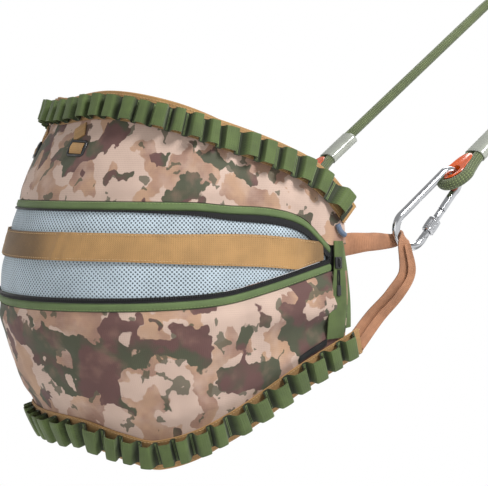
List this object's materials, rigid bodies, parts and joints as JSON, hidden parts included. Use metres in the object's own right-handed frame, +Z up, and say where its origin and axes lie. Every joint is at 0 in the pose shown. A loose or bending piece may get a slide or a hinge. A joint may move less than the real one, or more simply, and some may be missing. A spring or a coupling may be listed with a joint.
{
  "type": "tree climbing hunting saddle",
  "caption": "Padded hip harness in camouflage canvas with a zip-open mesh gusset, looped webbing edges, bridge loops, screw-gate carabiners and a climbing rope.",
  "frame": {"origin": "middle of the wearer's hips, halfway between the two zips at the saddle's mirror plane", "axes": "+X to the wearer's front, +Y to the wearer's left, +Z up"},
  "size_m": [0.9502, 0.367, 0.6807],
  "materials": {
    "camo_canvas": "printed twill, matt",
    "lining_mesh": "matt knit",
    "green_webbing": "ribbed nylon webbing, slight sheen",
    "zip_black": "black tape and coil",
    "air_mesh": "spacer mesh with round holes",
    "tan_belt": "ribbed nylon belt",
    "bridge_webbing": "ribbed tubular webbing",
    "zinc_steel": "bright zinc-plated steel",
    "thimble_orange": "glossy moulded plastic",
    "rope_green": "braided kernmantle rope",
    "sleeve_clear": "clear shrink tube, slightly milky",
    "hardware_black": "black acetal",
    "keeper_bluegrey": "blue-grey cord",
    "label_black": "plain black tab"
  },
  "bodies": {
    "saddle": {"upper_panel": "camo_canvas", "lower_panel": "camo_canvas", "upper_lining": "lining_mesh", "lower_lining": "lining_mesh", "upper_binding": "green_webbing", "lower_binding": "green_webbing", "upper_zip_tape": "zip_black", "lower_zip_tape": "zip_black", "mesh_gusset": "air_mesh", "middle_belt": "tan_belt", "upper_belt": "tan_belt", "lower_belt": "tan_belt", "upper_loop_webbing": "green_webbing", "lower_loop_webbing": "green_webbing", "upper_piping": "tan_belt", "lower_piping": "tan_belt", "right_label": "label_black", "right_end_strap": "green_webbing", "right_rear_strap": "green_webbing", "right_bridge_loop": "bridge_webbing", "right_zip_slider": "hardware_black", "right_keeper": "keeper_bluegrey", "right_buckle_tab": "tan_belt", "left_end_strap": "green_webbing", "left_rear_strap": "green_webbing", "left_bridge_loop": "bridge_webbing", "left_zip_slider": "hardware_black", "left_keeper": "keeper_bluegrey", "left_buckle_tab": "tan_belt"},
    "rope_set": {"rope": "rope_green", "right_carabiner_body": "zinc_steel", "right_gate_pin": "zinc_steel", "right_thimble": "thimble_orange", "right_rope_eye": "rope_green", "right_splice_sleeve": "sleeve_clear", "left_carabiner_body": "zinc_steel", "left_gate_pin": "zinc_steel", "left_thimble": "thimble_orange", "left_rope_eye": "rope_green", "left_splice_sleeve": "sleeve_clear"},
    "right_gate": {"right_carabiner_gate": "zinc_steel"},
    "right_lock": {"right_lock_sleeve": "zinc_steel"},
    "right_pull": {"right_zip_pull": "zip_black"},
    "right_buckle": {"right_ladder_buckle": "hardware_black"},
    "left_gate": {"left_carabiner_gate": "zinc_steel"},
    "left_lock": {"left_lock_sleeve": "zinc_steel"},
    "left_pull": {"left_zip_pull": "zip_black"},
    "left_buckle": {"left_ladder_buckle": "hardware_black"}
  },
  "joints": [
    {"name": "rope_swing", "type": "hinge", "parent": "saddle", "child": "rope_set", "pos_m": [0.25108, 0, 0.01512], "axis": [0, 1, 0], "range_deg": [-25, 25]},
    {"name": "right_gate_hinge", "type": "hinge", "parent": "rope_set", "child": "right_gate", "pos_m": [0.26872, -0.158, 0.00351], "axis": [0, -1, 0], "range_deg": [0, 20], "stiffness_Nm_per_rad": 0.15, "springref_deg": -20.05},
    {"name": "right_lock_slide", "type": "slide", "parent": "right_gate", "child": "right_lock", "axis": [0.649, 0, 0.7608], "range_m": [-0.004, 0.013]},
    {"name": "right_pull_hinge", "type": "hinge", "parent": "saddle", "child": "right_pull", "pos_m": [0.14292, -0.1688, -0.02772], "axis": [-0.9806, -0.1958, 0], "range_deg": [0, 50]},
    {"name": "right_buckle_hinge", "type": "hinge", "parent": "saddle", "child": "right_buckle", "pos_m": [-0.11947, -0.05883, 0.11365], "axis": [-0.3104, 0.9506, 0], "range_deg": [0, 60]},
    {"name": "left_gate_hinge", "type": "hinge", "parent": "rope_set", "child": "left_gate", "pos_m": [0.26872, 0.158, 0.00351], "axis": [0, -1, 0], "range_deg": [0, 20], "stiffness_Nm_per_rad": 0.15, "springref_deg": -20.05},
    {"name": "left_lock_slide", "type": "slide", "parent": "left_gate", "child": "left_lock", "axis": [0.649, 0, 0.7608], "range_m": [-0.004, 0.013]},
    {"name": "left_pull_hinge", "type": "hinge", "parent": "saddle", "child": "left_pull", "pos_m": [0.14292, 0.1688, -0.02772], "axis": [0.9806, -0.1958, 0], "range_deg": [0, 50]},
    {"name": "left_buckle_hinge", "type": "hinge", "parent": "saddle", "child": "left_buckle", "pos_m": [-0.11947, 0.05883, 0.11365], "axis": [0.3104, 0.9506, 0], "range_deg": [0, 60]}
  ]
}
